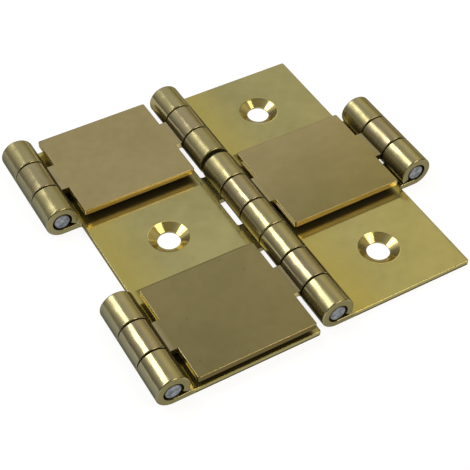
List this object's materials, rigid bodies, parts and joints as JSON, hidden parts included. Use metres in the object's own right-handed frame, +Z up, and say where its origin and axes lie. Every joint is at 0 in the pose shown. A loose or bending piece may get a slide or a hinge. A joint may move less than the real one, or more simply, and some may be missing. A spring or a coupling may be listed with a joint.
{
  "type": "folding screen hinge",
  "caption": "Double-action folding screen hinge of rolled brass sheet: screw-on leaves joined by link plates on steel pins, so that neighbouring screens fold flat against each other either way.",
  "frame": {"origin": "on the surface that the open hinge lies on, at the middle of the hinge, below the middle of the centre barrel", "axes": "+X across the hinge from the left barrels over the centre barrel to the right barrel, +Y along the pins, +Z up from the surface that the leaves lie on"},
  "size_m": [0.055, 0.0504, 0.005],
  "materials": {
    "leaf_brass": "polished sheet",
    "link_brass": "tumbled, duller sheet",
    "pin_steel": "cut wire ends"
  },
  "bodies": {
    "left_leaf": {"left_leaf": "leaf_brass", "left_upper_pin": "pin_steel", "left_lower_pin": "pin_steel", "centre_middle_pin": "pin_steel"},
    "upper_left_link": {"upper_left_link": "link_brass"},
    "lower_left_link": {"lower_left_link": "link_brass"},
    "right_leaf": {"right_leaf": "leaf_brass", "centre_upper_pin": "pin_steel", "centre_lower_pin": "pin_steel", "right_middle_pin": "pin_steel"},
    "right_link": {"right_link": "link_brass"}
  },
  "joints": [
    {"name": "upper_left_link_fold", "type": "hinge", "parent": "left_leaf", "child": "upper_left_link", "pos_m": [-0.025, 0, 0.0025], "axis": [0, -1, 0], "range_deg": [0, 180]},
    {"name": "lower_left_link_fold", "type": "hinge", "parent": "left_leaf", "child": "lower_left_link", "pos_m": [-0.025, 0, 0.0025], "axis": [0, -1, 0], "range_deg": [0, 180]},
    {"name": "right_leaf_fold", "type": "hinge", "parent": "upper_left_link", "child": "right_leaf", "pos_m": [0, 0, 0.0025], "axis": [0, -1, 0], "range_deg": [0, 180]},
    {"name": "right_link_fold", "type": "hinge", "parent": "right_leaf", "child": "right_link", "pos_m": [0.025, 0, 0.0025], "axis": [0, 1, 0], "range_deg": [0, 180]}
  ],
  "couplings": [
    {"joint": "lower_left_link_fold", "follows": "upper_left_link_fold", "ratio": 1},
    {"joint": "right_link_fold", "follows": "upper_left_link_fold", "ratio": 1}
  ]
}
